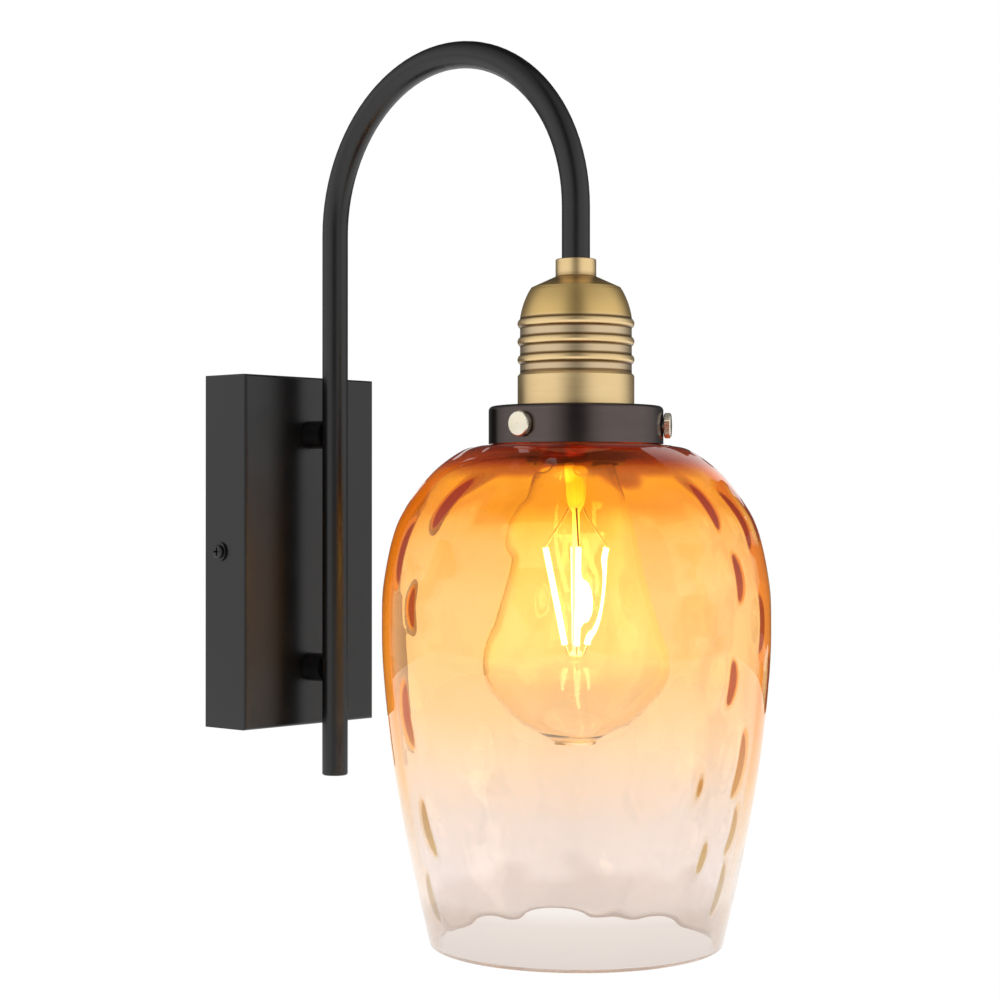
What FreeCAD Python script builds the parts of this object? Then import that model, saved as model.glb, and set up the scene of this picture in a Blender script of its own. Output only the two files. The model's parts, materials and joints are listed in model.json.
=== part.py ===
"""Hanging wall light: a steel canopy, a gooseneck tube and a brass lampholder that carries a glass shade.

Millimetres. +Z is up, the wall is the plane y = 0 and the light faces -Y. The origin is the centre of the
canopy's back, on the wall. The lamp head hangs on a vertical axis at (0, HEAD_Y).
"""

import FreeCAD
import Part
import math
import os

V = FreeCAD.Vector

# Canopy and wall bracket
CANOPY_W = 70.0
CANOPY_H = 140.0
CANOPY_D = 24.0
SHEET = 1.2
CANOPY_EDGE_R = 1.2
BRACKET_W = 30.0
BRACKET_H = 110.0
BRACKET_T = 1.5
BRACKET_CORNER_R = 4.0
ARM_H = 16.0
FLANGE_D = 16.0
FLANGE_GAP = 0.2
FLANGE_BEND_R = 1.2
WALL_SLOT_Z = 40.0
WALL_SLOT_R = 2.5
WALL_SLOT_LENGTH = 14.0
SUPPLY_HOLE_R = 8.0
SIDE_SCREW_Y = -9.0
EARTH_Z = -22.0
EARTH_BOSS_R = 4.0
EARTH_BOSS_T = 3.0
EARTH_TAG_T = 0.8
EARTH_BARREL_R = 1.5
EARTH_BARREL_XS = (5.5, 10.5)
EARTH_BARREL_Y = -BRACKET_T - EARTH_BOSS_T - 1.2

# Screws: radius of the head, height of the head, radius of the shank and its length
M3_R = 1.5
M4_R = 2.0
CANOPY_SCREW = (2.7, 2.0, M4_R, 6.0)
CANOPY_SCREW_COLLAR_R = 3.8
EARTH_SCREW = (3.6, 2.2, M4_R, 4.5)
FIXING_SCREW = (2.8, 1.8, M3_R, 10.5)
BRIDGE_SCREW = (2.3, 1.6, M3_R, 7.7)
SCREW_SLOT = 0.5

# Play on the radius of a thread, and of a plain hole
THREAD_PLAY = 0.02
HOLE_PLAY = 0.1

# Connector block on the bracket
POLES = (-8.0, 0.0, 8.0)
POLE_Y = -6.5
BLOCK_HALF = 12.0
BLOCK_LOW, BLOCK_HIGH = 12.0, 30.0
BLOCK_FRONT = -12.5
BLOCK_BORE_R = 2.0
INSERT_R = 1.98
INSERT_BORE_R = 1.1
CLAMP_ZS = (16.0, 26.0)
CLAMP_R = 1.2
CLAMP_LENGTH = 3.0
CLAMP_WELL_R = 1.5
FIXING_X = 4.0
FIXING_Z = 21.0
FIXING_WELL = 2.0
FIXING_WELL_R = 3.0

# Gooseneck tube: 10 mm tube with its paint, bent to a half circle
TUBE_R = 5.1
TUBE_BORE_R = 3.5
LEG_Y = -38.0
LEG_LOW = -89.2
BEND_R = 63.0
BEND_Z = 126.1
HEAD_Y = LEG_Y - 2 * BEND_R
TUBE_END_Z = 103.0
THREAD_DEPTH = 12.5
PLUG_FLANGE = 1.2
PLUG_DEPTH = 8.0
PLUG_EDGE_R = 0.7

# Stand-off posts between the canopy and the tube
POST_R = 5.65
POST_EDGE_R = 0.5
POST_Z = 46.7
POST_END_Y = -33.9
NIPPLE_R = 4.0
NIPPLE_BORE_R = 2.8
POST_NIPPLE_YS = (-17.5, -30.6)
BOLT_R = 3.0
BOLT_END_Y = -31.2
WASHER_T = 0.5
NIPPLE_WASHER_R = 6.5
BOLT_WASHER_R = 6.2
NUT_FLATS = 12.0
NUT_T = 3.0
BOLT_FLATS = 10.0
BOLT_HEAD_H = 4.0
INSIDE_Y = SHEET - CANOPY_D

# Lampholder, heights on the head axis
COLLAR_R = 7.35
COLLAR_LOW = 100.5
COLLAR_HIGH = 107.0
COLLAR_EDGE_R = 0.5
CUP_WALL = 0.8
CUP_FLAT_R = 7.8
SHOULDER_R = 16.1
SHOULDER_Z = 96.7
SHOULDER_LIP = (16.9, 95.5)
CUP_DOME = (18.9, 91.0)
NECKED_R = 20.15
NECKED_Z = 85.9
BEAD_R = 21.1
BEAD_ZS = (83.7, 77.2, 70.7)
BEAD_HALF = 1.6
SLEEVE_R = 21.05
SLEEVE_Z = 65.3
CUP_LOW = 53.85
BARREL_R = 18.0
BARREL_LOW = 34.0
BARREL_HIGH = 82.0
BARREL_EDGE_R = 1.0
BARREL_MOUTH_R = 15.6
BARREL_STEP_Z = 46.0
SHELL_R = 14.2
SHELL_PLAY = 0.05
SHELL_BORE_R = 13.5
SHELL_HIGH = 70.0
SHELL_FLANGE = (12.0, 15.3)
SHELL_FLANGE_T = 0.6
CERAMIC_R = 15.4
CERAMIC_POCKET_R = 11.0
CERAMIC_POCKET = 4.0
BRIDGE_Z = 96.9
BRIDGE_T = 1.2
BRIDGE_HALF = 13.0
BRIDGE_FOOT = 6.0
BRIDGE_W = 11.0
BRIDGE_SCREW_X = 9.0
LOCK_NUT_T = 2.6
HEAD_NIPPLE_ZS = (92.0, 115.0)
NUT_HIGH = COLLAR_LOW - CUP_WALL - WASHER_T
TERMINAL_OFFSET = 9.5
TERMINAL_YS = (7.0, 14.0)
TERMINAL_HALF = 3.2
TERMINAL_H = 4.0
LEAD_ENTRY_Z = 84.0
RIVET_R = 1.0
RIVET_Z = SHELL_HIGH + CERAMIC_POCKET
SHELL_RIVET_Y = 13.0
CONTACT_T = 0.4

# Shade fitter with its ring nut and thumb screws
FITTER_R = 31.5
FITTER_LOW = 40.3
FITTER_EDGE_R = 1.6
FITTER_INNER_EDGE_R = 0.6
FITTER_BORE_R = BARREL_R + 0.05
RING_NUT_R = 22.0
RING_NUT_NOTCHES = 12
RING_NUT_NOTCH_R = 2.0
RING_NUT_LOW = 45.9
SCREW_Z = 46.8
SCREW_ANGLES = (184.0, 304.0, 64.0)
STUD_R = 2.0
STUD_TIP_R = 27.4
STUD_EDGE_R = 0.8
STUD_PLAY = 0.05
STUD_IN_KNOB = 2.0
KNOB_R = 4.6
KNOB_T = 2.8
KNOB_BACK_R = 31.8
KNURLS = 36
KNURL_DEPTH = 0.25

# Glass shade: points of the outside, radius and height, from under the fitter to the rim
GLASS_WALL = 3.0
NECK_R = 27.2
NECK_LIP_R = 1.2
NECK_HIGH = 51.6
NECK_BEND_R = 2.7
SHOULDER_HIGH = 39.9
RIM_Z = -139.5
SHADE_OUTSIDE = [
    (34.5, 39.6), (41.2, 37.8), (51.0, 30.6), (59.9, 19.7), (65.4, 8.8),
    (69.2, -9.2), (69.9, -23.6), (69.3, -41.8), (66.3, -70.5), (62.1, -95.8),
    (57.6, -117.6), (52.6, RIM_Z),
]

# Pear bulb, 64 mm wide and 140 mm long, with an E27 cap
CAP_R = 13.1
CAP_LOW = 44.5
CAP_HIGH = 67.3
CAP_WALL = 0.6
CAP_TOP = (6.0, 10.2)
CAP_TAPER = 2.0
INSULATOR_LOW = 67.35
INSULATOR_HIGH = 69.4
INSULATOR_RS = (9.4, 6.2)
TIP_R = 4.7
TIP_HIGH = 71.0
BOARD_LOW = 54.0
BOARD_T = 1.0
BOARD_R = 12.3
COIL_R = 3.5
COIL_H = 6.0
CHIP_H = 2.5
BULB_NECK_R = 12.3
BULB_NECK_HIGH = 47.5
BULB_GLASS = 0.8
BULB_OUTSIDE = [
    (13.0, 41.0), (14.4, 33.0), (17.8, 22.5), (21.4, 10.0), (24.2, -4.0), (28.2, -18.5), (31.4, -31.0),
    (32.0, -38.0), (30.2, -47.0), (25.0, -55.0), (17.0, -61.8), (8.6, -66.6),
]
BULB_LOW = -68.6
FILAMENT_R = 1.1
FILAMENT_TOP = (11.0, 3.0)
FILAMENT_FOOT = (4.0, -32.0)
STEM_FOOT_R = 11.4
STEM_OUTSIDE = [(6.0, 42.5), (3.6, 32.0), (2.8, 18.0)]
STEM_POST_R = 1.3
STEM_POST_HIGH = 16.0
HUB_R = 2.2
HUB_Z = -36.0
WIRE_R = 0.4
WIRE_TOP = (2.7, 17.0)
WIRE_FOOT = (2.75, -35.5)

# Leads through the tube
LEAD_R = 0.9
LEAD_X = 1.2
POLE_BEND, CANOPY_BEND, TUBE_BEND = 3.5, 4.0, 3.0
EARTH_BENDS = (4.0, 5.0, 4.0)

HEAD = V(0, HEAD_Y, 0)
UP = V(0, 0, 1)
OUT = V(0, -1, 0)


def block(x0, x1, y0, y1, z0, z1):
    """Box between two corners."""
    return Part.makeBox(x1 - x0, y1 - y0, z1 - z0, V(x0, y0, z0))


def rod(radius, start, end):
    """Cylinder from one point to another."""
    run = end - start
    return Part.makeCylinder(radius, run.Length, start, run)


def pipe(outer, inner, start, end):
    """Hollow cylinder from one point to another."""
    return rod(outer, start, end).cut(rod(inner, start, end))


def on_head(x, y, z):
    """Point given from the head's axis."""
    return V(x, HEAD_Y + y, z)


def together(shapes):
    """Separate solids of one node, such as a set of equal screws."""
    return Part.makeCompound(shapes)


def welded(shapes):
    """One solid from touching ones."""
    return shapes[0].multiFuse(shapes[1:]).removeSplitter()


def smooth_curve(points):
    """Curve through points in the radius-height plane, level where it meets the axis."""
    curve = Part.BSplineCurve()
    first, last = points[0], points[-1]
    start, end = (points[1] - first).normalize(), (last - points[-2]).normalize()
    if abs(last.x) < 1e-6:
        curve.interpolate(Points=points, InitialTangent=start, FinalTangent=V(-1, 0, 0))
    elif abs(first.x) < 1e-6:
        curve.interpolate(Points=points, InitialTangent=V(1, 0, 0), FinalTangent=end)
    else:
        curve.interpolate(points)
    return curve


def profile(start, *moves):
    """Closed face in the radius-height plane. A pair of numbers is a straight line to that point, a pair of
    points an arc through the first to the second, and a list a smooth curve through its points."""
    edges = []
    here = V(start[0], 0, start[1])
    for move in moves:
        if isinstance(move, list):
            points = [here] + [V(r, 0, z) for r, z in move]
            curve = smooth_curve(points)
            there = points[-1]
        elif isinstance(move[0], tuple):
            middle, there = (V(r, 0, z) for r, z in move)
            curve = Part.Arc(here, middle, there)
        else:
            there = V(move[0], 0, move[1])
            curve = Part.LineSegment(here, there)
        edges.append(curve.toShape())
        here = there
    edges.append(Part.LineSegment(here, V(start[0], 0, start[1])).toShape())
    return Part.Face(Part.Wire(edges))


def turned(start, *moves):
    """Solid of revolution about the head's axis."""
    return profile(start, *moves).revolve(V(0, 0, 0), UP, 360).translated(HEAD)


def quarter(centre, radius, start_deg, end_deg):
    """The two points that profile takes for an arc of this centre and radius."""
    def point(degrees):
        angle = math.radians(degrees)
        return (centre[0] + radius * math.cos(angle), centre[1] + radius * math.sin(angle))
    return (point((start_deg + end_deg) / 2), point(end_deg))


def dome(edge_r, edge_z, top_z):
    """The two points that profile takes for a dome from an edge to the axis."""
    rise = top_z - edge_z
    radius = (edge_r ** 2 + rise ** 2) / (2 * rise)
    half = math.asin(edge_r / radius) / 2
    return ((radius * math.sin(half), top_z - radius * (1 - math.cos(half))), (0, top_z))


def placed(shape, position, direction):
    """Shape made along +Z, set at a position with its +Z along a direction."""
    moved = shape.copy()
    moved.Placement = FreeCAD.Placement(position, FreeCAD.Rotation(UP, direction))
    return moved


def bent_rod(radius, points, bends):
    """Round bar along straight runs joined by tangent arcs, one bend radius for each inner point."""
    pieces = []
    here = points[0]
    for before, corner, after, bend in zip(points, points[1:], points[2:], bends):
        along = (corner - before).normalize()
        onward = (after - corner).normalize()
        turn = along.getAngle(onward)
        reach = bend * math.tan(turn / 2)
        start = corner - along * reach
        if (start - here).Length > 1e-6:
            pieces.append(rod(radius, here, start))
        hinge = along.cross(onward).normalize()
        centre = start + hinge.cross(along) * bend
        disc = Part.Face(Part.Wire(Part.makeCircle(radius, start, along)))
        pieces.append(disc.revolve(centre, hinge, math.degrees(turn)))
        here = corner + onward * reach
    pieces.append(rod(radius, here, points[-1]))
    return welded(pieces)


def hexagon(across_flats, z0, z1, hole_r=0.0):
    """Hexagon along +Z: a nut, or a bolt's head when it has no hole."""
    corner = across_flats / math.sqrt(3)
    points = [V(corner * math.cos(k * math.pi / 3), corner * math.sin(k * math.pi / 3), z0) for k in range(7)]
    prism = Part.Face(Part.makePolygon(points)).extrude(V(0, 0, z1 - z0))
    if not hole_r:
        return prism
    return prism.cut(rod(hole_r, V(0, 0, z0 - 1), V(0, 0, z1 + 1)))


def toothed_washer(outer, inner, thickness, teeth=10):
    """Lock washer along +Z with notches round its edge."""
    washer = pipe(outer, inner, V(0, 0, 0), V(0, 0, thickness))
    notches = []
    for k in range(teeth):
        angle = 2 * math.pi * k / teeth
        edge = V(outer * math.cos(angle), outer * math.sin(angle), 0)
        notches.append(rod(outer * 0.16, edge - UP, edge + UP * (thickness + 1.0)))
    return washer.cut(Part.makeCompound(notches))


def pan_screw(head_r, head_h, shank_r, length, collar_r=0.0, slots=2):
    """Screw along -Z with its head on top: two crossed slots make a cross recess, one a plain slot."""
    head = rod(head_r, V(0, 0, 0), V(0, 0, head_h))
    head = head.makeFillet(head_h * 0.35, [e for e in head.Edges if abs(e.BoundBox.ZMin - head_h) < 1e-6])
    parts = [head, rod(shank_r, V(0, 0, -length), V(0, 0, 0))]
    if collar_r:
        parts.append(rod(collar_r, V(0, 0, 0), V(0, 0, head_h * 0.4)))
    screw = welded(parts)
    reach = head_r * (0.62 if slots == 2 else 1.2)
    width = head_r * 0.13
    depth = head_h * 0.55
    cut = block(-reach, reach, -width, width, head_h - depth, head_h + 1)
    for k in range(slots):
        turned_cut = cut.copy()
        turned_cut.rotate(V(0, 0, 0), UP, 90 * k)
        screw = screw.cut(turned_cut)
    return screw


def canopy_box():
    """Folded steel box, open at the back, with two holes for the posts and one in each side for a screw."""
    half_w, half_h = CANOPY_W / 2, CANOPY_H / 2
    box = block(-half_w, half_w, -CANOPY_D, 0, -half_h, half_h)
    front = [e for e in box.Edges if abs(e.BoundBox.YMax + CANOPY_D) < 1e-6]
    box = box.makeFillet(CANOPY_EDGE_R, front)
    inner_w, inner_h = half_w - SHEET, half_h - SHEET
    box = box.cut(block(-inner_w, inner_w, SHEET - CANOPY_D, 1, -inner_h, inner_h))
    upper, lower = V(0, -CANOPY_D - 1, POST_Z), V(0, -CANOPY_D - 1, -POST_Z)
    box = box.cut(rod(NIPPLE_R + HOLE_PLAY, upper, upper - OUT * 4))
    box = box.cut(rod(BOLT_R + HOLE_PLAY, lower, lower - OUT * 4))
    return box.cut(rod(M4_R + HOLE_PLAY, V(-half_w - 1, SIDE_SCREW_Y, 0), V(half_w + 1, SIDE_SCREW_Y, 0)))


def slot(x, z, radius, length):
    """Upright slot through the bracket's plate."""
    half = length / 2 - radius
    ends = [rod(radius, V(x, 1, z + side * half), V(x, -BRACKET_T - 1, z + side * half)) for side in (-1, 1)]
    middle = block(x - radius, x + radius, -BRACKET_T - 1, 1, z - half, z + half)
    return ends[0].fuse([ends[1], middle])


def wall_bracket():
    """Strap that is screwed to the wall, with a bent flange on each side for the canopy's screws."""
    plate = block(-BRACKET_W / 2, BRACKET_W / 2, -BRACKET_T, 0, -BRACKET_H / 2, BRACKET_H / 2)
    corners = [e for e in plate.Edges if e.BoundBox.YLength > BRACKET_T / 2]
    plate = plate.makeFillet(BRACKET_CORNER_R, corners)
    reach = CANOPY_W / 2 - SHEET - FLANGE_GAP
    arm = block(-reach, reach, -BRACKET_T, 0, -ARM_H / 2, ARM_H / 2)
    flanges = []
    for side in (-1, 1):
        x0, x1 = sorted((side * reach, side * (reach - BRACKET_T)))
        flanges.append(block(x0, x1, -FLANGE_D, 0, -ARM_H / 2, ARM_H / 2))
    earth = rod(EARTH_BOSS_R, V(0, -BRACKET_T, EARTH_Z), V(0, -BRACKET_T - EARTH_BOSS_T, EARTH_Z))
    bracket = welded([plate, arm, earth] + flanges)
    bends = [e for e in bracket.Edges if e.BoundBox.ZLength > ARM_H - 1 and abs(e.BoundBox.YMin) < 1e-6
             and abs(abs(e.BoundBox.XMin) - reach) < 1e-6]
    bracket = bracket.makeFillet(FLANGE_BEND_R, bends)
    for side in (-1, 1):
        bracket = bracket.cut(slot(0, side * WALL_SLOT_Z, WALL_SLOT_R, WALL_SLOT_LENGTH))
    bracket = bracket.cut(rod(SUPPLY_HOLE_R, V(0, 1, 0), V(0, -BRACKET_T - 1, 0)))
    tapped = M4_R + THREAD_PLAY
    bracket = bracket.cut(rod(tapped, V(-CANOPY_W, SIDE_SCREW_Y, 0), V(CANOPY_W, SIDE_SCREW_Y, 0)))
    bracket = bracket.cut(rod(tapped, V(0, 1, EARTH_Z), V(0, -CANOPY_D, EARTH_Z)))
    fixing = V(FIXING_X, 1, FIXING_Z)
    return bracket.cut(rod(M3_R + THREAD_PLAY, fixing, fixing + OUT * (BRACKET_T + 2)))


def canopy_screws():
    """One collar-head screw in the middle of each side."""
    screw = pan_screw(*CANOPY_SCREW, collar_r=CANOPY_SCREW_COLLAR_R)
    x = CANOPY_W / 2
    return together([placed(screw, V(side * x, SIDE_SCREW_Y, 0), V(side, 0, 0)) for side in (-1, 1)])


def earth_screw():
    face = V(0, -BRACKET_T - EARTH_BOSS_T - EARTH_TAG_T, EARTH_Z)
    return placed(pan_screw(*EARTH_SCREW), face, OUT)


def earth_tag():
    """Ring under the earth screw with a crimped barrel for the lead."""
    face_y = -BRACKET_T - EARTH_BOSS_T
    start, end = (V(x, EARTH_BARREL_Y, EARTH_Z) for x in EARTH_BARREL_XS)
    ring = rod(EARTH_BOSS_R, V(0, face_y, EARTH_Z), V(0, face_y - EARTH_TAG_T, EARTH_Z))
    half = EARTH_BARREL_R
    neck = block(0, start.x + 0.5, face_y - EARTH_TAG_T, face_y, EARTH_Z - half, EARTH_Z + half)
    tag = welded([ring, neck, rod(EARTH_BARREL_R, start, end)])
    tag = tag.cut(rod(M4_R + HOLE_PLAY, V(0, 0, EARTH_Z), V(0, -CANOPY_D, EARTH_Z)))
    return tag.cut(rod(LEAD_R + THREAD_PLAY, start + V(EARTH_BARREL_R, 0, 0), end + V(1, 0, 0)))


def terminal_block():
    """Three-pole connector block on the bracket."""
    body = block(-BLOCK_HALF, BLOCK_HALF, BLOCK_FRONT, -BRACKET_T, BLOCK_LOW, BLOCK_HIGH)
    body = body.makeFillet(1.0, [e for e in body.Edges if abs(e.BoundBox.YMax - BLOCK_FRONT) < 1e-6])
    for x in POLES:
        body = body.cut(rod(BLOCK_BORE_R, V(x, POLE_Y, BLOCK_LOW - 1), V(x, POLE_Y, BLOCK_HIGH + 1)))
        for z in CLAMP_ZS:
            body = body.cut(rod(CLAMP_WELL_R, V(x, BLOCK_FRONT - 1, z), V(x, POLE_Y, z)))
    front = V(FIXING_X, BLOCK_FRONT - 1, FIXING_Z)
    body = body.cut(rod(M3_R + HOLE_PLAY, V(FIXING_X, 0, FIXING_Z), front))
    return body.cut(rod(FIXING_WELL_R, V(FIXING_X, BLOCK_FRONT + FIXING_WELL, FIXING_Z), front))


def terminal_inserts():
    """A brass tube in each pole, with two threaded holes for its clamp screws."""
    inserts = []
    for x in POLES:
        insert = pipe(INSERT_R, INSERT_BORE_R, V(x, POLE_Y, BLOCK_LOW + 1), V(x, POLE_Y, BLOCK_HIGH - 1))
        for z in CLAMP_ZS:
            insert = insert.cut(rod(CLAMP_R + THREAD_PLAY, V(x, BLOCK_FRONT, z), V(x, POLE_Y, z)))
        inserts.append(insert)
    return together(inserts)


def terminal_clamp_screws():
    """Slotted grub screws that press on the leads."""
    tip_y = POLE_Y - LEAD_R
    screws = []
    for x in POLES:
        for z in CLAMP_ZS:
            head_y = tip_y - CLAMP_LENGTH
            half = SCREW_SLOT / 2
            screw = rod(CLAMP_R, V(x, tip_y, z), V(x, head_y, z))
            screws.append(screw.cut(block(x - half, x + half, head_y - 1, head_y + 0.7, z - 2, z + 2)))
    return together(screws)


def terminal_fixing_screw():
    return placed(pan_screw(*FIXING_SCREW), V(FIXING_X, BLOCK_FRONT + FIXING_WELL, FIXING_Z), OUT)


def leg_points(x=0.0, low=LEG_LOW + PLUG_FLANGE, end=TUBE_END_Z):
    """Corners of the gooseneck's centre line: up, over the half circle and down to the head."""
    top = BEND_Z + BEND_R
    return [V(x, LEG_Y, low), V(x, LEG_Y, top), V(x, HEAD_Y, top), V(x, HEAD_Y, end)]


def gooseneck_tube():
    """Bent tube with a threaded end at the head and a side hole for the leads at the upper post."""
    outside = bent_rod(TUBE_R, leg_points(), [BEND_R, BEND_R])
    inside = bent_rod(TUBE_BORE_R, leg_points(low=LEG_LOW - 5, end=TUBE_END_Z - 5), [BEND_R, BEND_R])
    end = on_head(0, 0, TUBE_END_Z)
    thread = rod(NIPPLE_R + THREAD_PLAY, end - UP, end + UP * THREAD_DEPTH)
    entry = rod(NIPPLE_BORE_R, V(0, LEG_Y, POST_Z), V(0, LEG_Y + 10, POST_Z))
    return outside.cut(inside).cut(thread).cut(entry)


def tube_end_plug():
    """Turned plug in the leg's lower end, flush with the tube."""
    edge = PLUG_EDGE_R
    stem_r = TUBE_BORE_R - THREAD_PLAY
    flange = LEG_LOW + PLUG_FLANGE
    high = flange + PLUG_DEPTH
    face = profile(
        (0, LEG_LOW), (TUBE_R - edge, LEG_LOW), quarter((TUBE_R - edge, LEG_LOW + edge), edge, -90, 0),
        (TUBE_R, flange), (stem_r, flange), (stem_r, high - 1), (stem_r - 1, high), (0, high))
    return face.revolve(V(0, 0, 0), UP, 360).translated(V(0, LEG_Y, 0))


def post(z, hole_r, hole_end_y, through_r=0.0):
    """Round spacer that is coped to the tube and threaded from the canopy's side."""
    body = rod(POST_R, V(0, -CANOPY_D, z), V(0, POST_END_Y, z))
    body = body.makeFillet(POST_EDGE_R, [e for e in body.Edges if abs(e.BoundBox.YMax + CANOPY_D) < 1e-6])
    body = body.cut(rod(TUBE_R, V(0, LEG_Y, z - 20), V(0, LEG_Y, z + 20)))
    body = body.cut(rod(hole_r, V(0, 0, z), V(0, hole_end_y, z)))
    if through_r:
        body = body.cut(rod(through_r, V(0, 0, z), V(0, LEG_Y, z)))
    return body


def upper_post():
    return post(POST_Z, NIPPLE_R + THREAD_PLAY, POST_NIPPLE_YS[1] - 0.2, through_r=NIPPLE_BORE_R)


def lower_post():
    return post(-POST_Z, BOLT_R + THREAD_PLAY, BOLT_END_Y - 0.2)


def post_nipple():
    """Hollow threaded tube that holds the upper post and lets the leads through."""
    start, end = (V(0, y, POST_Z) for y in POST_NIPPLE_YS)
    return pipe(NIPPLE_R, NIPPLE_BORE_R, start, end)


def post_nut():
    nut = hexagon(NUT_FLATS, 0, NUT_T, NIPPLE_R + THREAD_PLAY)
    return placed(nut, V(0, INSIDE_Y + WASHER_T, POST_Z), -OUT)


def post_washers():
    upper = toothed_washer(NIPPLE_WASHER_R, NIPPLE_R + HOLE_PLAY, WASHER_T)
    lower = toothed_washer(BOLT_WASHER_R, BOLT_R + HOLE_PLAY, WASHER_T)
    upper = placed(upper, V(0, INSIDE_Y, POST_Z), -OUT)
    return together([upper, placed(lower, V(0, INSIDE_Y, -POST_Z), -OUT)])


def lower_post_bolt():
    seat = V(0, INSIDE_Y + WASHER_T, -POST_Z)
    head = placed(hexagon(BOLT_FLATS, 0, BOLT_HEAD_H), seat, -OUT)
    return welded([head, rod(BOLT_R, seat, V(0, BOLT_END_Y, -POST_Z))])


def neck_collar():
    """Brass collar that sleeves the tube's end and sits on the cup."""
    edge = COLLAR_EDGE_R
    hole = NIPPLE_R + HOLE_PLAY
    return turned(
        (hole, COLLAR_LOW), (COLLAR_R - edge, COLLAR_LOW),
        quarter((COLLAR_R - edge, COLLAR_LOW + edge), edge, -90, 0), (COLLAR_R, COLLAR_HIGH - edge),
        quarter((COLLAR_R - edge, COLLAR_HIGH - edge), edge, 0, 90), (TUBE_R + THREAD_PLAY, COLLAR_HIGH),
        (TUBE_R + THREAD_PLAY, TUBE_END_Z), (hole, TUBE_END_Z))


def head_nipple():
    """Hollow threaded tube that ties the tube, collar, cup and bridge together."""
    start, end = (on_head(0, 0, z) for z in HEAD_NIPPLE_ZS)
    return pipe(NIPPLE_R, NIPPLE_BORE_R, start, end)


def head_nuts():
    """One nut clamps the cup to the tube, the other locks the bridge."""
    under = BRIDGE_Z - BRIDGE_T
    clamp = hexagon(NUT_FLATS, BRIDGE_Z, NUT_HIGH, NIPPLE_R + THREAD_PLAY)
    lock = hexagon(NUT_FLATS, under - LOCK_NUT_T, under, NIPPLE_R + THREAD_PLAY)
    return together([clamp.translated(HEAD), lock.translated(HEAD)])


def head_washer():
    return toothed_washer(NIPPLE_WASHER_R, NIPPLE_R + HOLE_PLAY, WASHER_T).translated(on_head(0, 0, NUT_HIGH))


def socket_cup():
    """Spun brass cup: flat top, cone, domed side, three beads and a plain sleeve."""
    hole = NIPPLE_R + HOLE_PLAY
    wall = CUP_WALL
    step = 0.5
    moves = [(CUP_FLAT_R, COLLAR_LOW), (SHOULDER_R, SHOULDER_Z), SHOULDER_LIP]
    moves += [(CUP_DOME, (NECKED_R, NECKED_Z))]
    for z in BEAD_ZS:
        moves += [(NECKED_R, z + BEAD_HALF), ((BEAD_R, z), (NECKED_R, z - BEAD_HALF))]
    moves += [(NECKED_R, SLEEVE_Z + step), (SLEEVE_R, SLEEVE_Z - step), (SLEEVE_R, CUP_LOW)]
    moves += [(SLEEVE_R - wall, CUP_LOW), (SLEEVE_R - wall, SLEEVE_Z - 2 * step)]
    moves += [(NECKED_R - wall, SLEEVE_Z - step), (NECKED_R - wall, NECKED_Z)]
    moves += [((CUP_DOME[0] - wall, CUP_DOME[1]), (SHOULDER_LIP[0] - wall, SHOULDER_LIP[1] - wall / 2))]
    moves += [(SHOULDER_R - wall / 2, SHOULDER_Z - wall)]
    moves += [(CUP_FLAT_R, COLLAR_LOW - wall), (hole, COLLAR_LOW - wall)]
    return turned((hole, COLLAR_LOW), *moves)


def holder_bridge():
    """Bent steel strap between the nipple and the ceramic insert."""
    low = BARREL_HIGH
    half_w = BRIDGE_W / 2
    top = block(-BRIDGE_HALF, BRIDGE_HALF, -half_w, half_w, BRIDGE_Z - BRIDGE_T, BRIDGE_Z)
    parts = [top]
    for side in (-1, 1):
        x0, x1 = sorted((side * BRIDGE_HALF, side * (BRIDGE_HALF - BRIDGE_T)))
        parts.append(block(x0, x1, -half_w, half_w, low, BRIDGE_Z))
        x0, x1 = sorted((side * BRIDGE_HALF, side * (BRIDGE_HALF - BRIDGE_FOOT)))
        parts.append(block(x0, x1, -half_w, half_w, low, low + BRIDGE_T))
    strap = welded(parts).translated(HEAD)
    bevel = 0.5
    edge_z = BRIDGE_Z - bevel
    strap = strap.common(turned(
        (0, low), (BRIDGE_HALF, low), (BRIDGE_HALF, edge_z), (BRIDGE_HALF - bevel, BRIDGE_Z), (0, BRIDGE_Z)))
    strap = strap.cut(rod(NIPPLE_R + THREAD_PLAY, on_head(0, 0, low + BRIDGE_T), on_head(0, 0, BRIDGE_Z + 1)))
    for side in (-1, 1):
        x = side * BRIDGE_SCREW_X
        strap = strap.cut(rod(M3_R + HOLE_PLAY, on_head(x, 0, low - 1), on_head(x, 0, low + 3)))
    return strap


def bridge_screws():
    screw = pan_screw(*BRIDGE_SCREW)
    at = BARREL_HIGH + BRIDGE_T
    return together([screw.translated(on_head(side * BRIDGE_SCREW_X, 0, at)) for side in (-1, 1)])


def holder_barrel():
    """Black moulded barrel: mouth for the bulb's neck, step for the shell and a wide top for the ceramic."""
    edge = BARREL_EDGE_R
    mouth = BARREL_MOUTH_R
    bore = SHELL_R + SHELL_PLAY
    ledge = SHELL_HIGH - SHELL_FLANGE_T
    rounding = quarter((BARREL_R - edge, BARREL_LOW + edge), edge, -90, 0)
    return turned(
        (mouth, BARREL_LOW), (BARREL_R - edge, BARREL_LOW), rounding, (BARREL_R, BARREL_HIGH),
        (mouth, BARREL_HIGH), (mouth, ledge), (bore, ledge), (bore, BARREL_STEP_Z), (mouth, BARREL_STEP_Z))


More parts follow.
